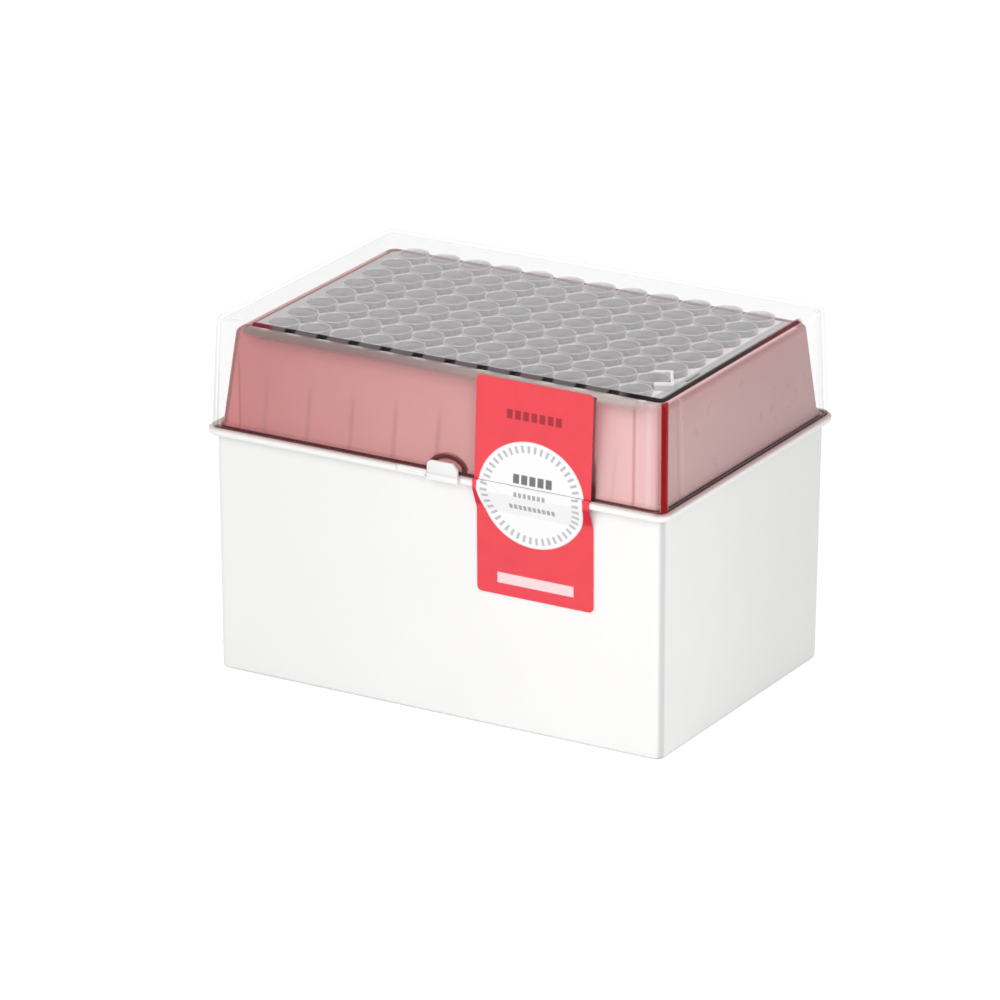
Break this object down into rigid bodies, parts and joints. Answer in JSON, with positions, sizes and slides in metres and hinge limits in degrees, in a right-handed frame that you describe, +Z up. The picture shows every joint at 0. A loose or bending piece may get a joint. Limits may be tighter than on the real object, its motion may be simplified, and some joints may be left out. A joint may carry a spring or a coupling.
{
  "type": "pipette tip rack box",
  "caption": "Hinged rack box for capillary-and-piston pipette tips: opaque base, tinted tray with a punched tip plate, clear lid, seal label split along the opening.",
  "frame": {"origin": "centre of the overall box at the level of the surface it stands on", "axes": "+X along the long side to the right, -Y to the front with the latch and label, +Z up"},
  "size_m": [0.13, 0.0948, 0.0928],
  "materials": {
    "base_plastic": "white moulded polypropylene, satin",
    "tray_plastic": "tinted translucent polypropylene",
    "plate_plastic": "grey moulded plastic with clear collars",
    "lid_plastic": "clear polystyrene, polished",
    "label_film": "printed film label"
  },
  "bodies": {
    "box": {"base_box": "base_plastic", "tip_tray": "tray_plastic", "tip_plate": "plate_plastic", "seal_label_lower": "label_film"},
    "lid": {"clear_lid": "lid_plastic", "seal_label_upper": "label_film"}
  },
  "joints": [
    {"name": "lid_hinge", "type": "hinge", "parent": "box", "child": "lid", "pos_m": [0, 0.0448, 0.065], "axis": [-1, 0, 0], "range_deg": [0, 110]}
  ]
}
